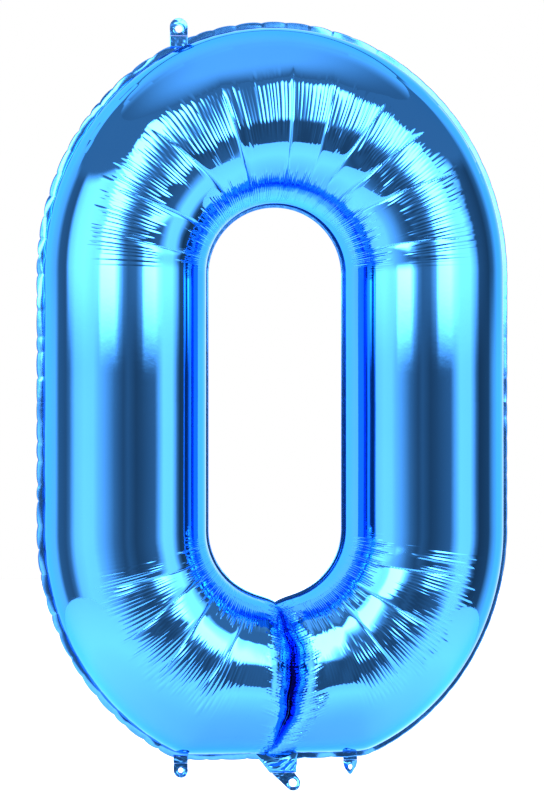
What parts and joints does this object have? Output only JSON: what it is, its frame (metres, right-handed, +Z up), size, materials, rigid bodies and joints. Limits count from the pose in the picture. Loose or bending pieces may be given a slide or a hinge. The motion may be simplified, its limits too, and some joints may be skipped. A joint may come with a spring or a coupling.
{
  "type": "foil number balloon",
  "caption": "Large blue foil balloon in the shape of the number zero, with welded margins, hanging tabs, a filling neck with a self-sealing valve and a tail eyelet.",
  "frame": {"origin": "centre of the eyelet in the tail tab, in the plane of the weld, where the ribbon is tied", "axes": "+Z up along the number, -Y to the front, +X to the number's right as seen from the front"},
  "size_m": [0.536, 0.1852, 0.867],
  "materials": {
    "blue_foil": "blue lacquered metallised film, mirror bright, finely wrinkled round the ends",
    "welded_foil": "two blue metallised films heat-sealed flat, bright and puckered",
    "valve_film": "clear polyethylene film"
  },
  "bodies": {
    "envelope": {"front_film": "blue_foil", "back_film": "blue_foil", "outer_margin": "welded_foil", "inner_margin": "welded_foil", "neck_front": "blue_foil", "neck_back": "blue_foil", "valve_sleeve_front": "valve_film", "valve_sleeve_back": "valve_film"},
    "tail": {"tail_tab": "welded_foil"},
    "tab_top_left": {"hanging_tab_top_left": "welded_foil"},
    "tab_bottom_left": {"hanging_tab_bottom_left": "welded_foil"},
    "tab_bottom_right": {"hanging_tab_bottom_right": "welded_foil"},
    "lip_front": {"valve_lip_front": "valve_film"},
    "lip_back": {"valve_lip_back": "valve_film"}
  },
  "joints": [
    {"name": "tail_flex", "type": "hinge", "parent": "envelope", "child": "tail", "pos_m": [-0.011, 0, 0.0102], "axis": [1, 0, 0], "range_deg": [-90, 90]},
    {"name": "tab_top_left_flex", "type": "hinge", "parent": "envelope", "child": "tab_top_left", "pos_m": [-0.129, 0, 0.83953], "axis": [1, 0, 0], "range_deg": [-90, 90]},
    {"name": "tab_bottom_left_flex", "type": "hinge", "parent": "envelope", "child": "tab_bottom_left", "pos_m": [-0.127, 0, 0.023], "axis": [1, 0, 0], "range_deg": [-90, 90]},
    {"name": "tab_bottom_right_flex", "type": "hinge", "parent": "envelope", "child": "tab_bottom_right", "pos_m": [0.066, 0, 0.023], "axis": [1, 0, 0], "range_deg": [-90, 90]},
    {"name": "valve_front_open", "type": "hinge", "parent": "envelope", "child": "lip_front", "pos_m": [-0.011, -0.0003, 0.03605], "axis": [1, 0, 0], "range_deg": [0, 5], "stiffness_Nm_per_rad": 0.0002},
    {"name": "valve_back_open", "type": "hinge", "parent": "envelope", "child": "lip_back", "pos_m": [-0.011, 0.0003, 0.03605], "axis": [1, 0, 0], "range_deg": [-5, 0]}
  ],
  "couplings": [
    {"joint": "valve_back_open", "follows": "valve_front_open", "ratio": -1}
  ]
}
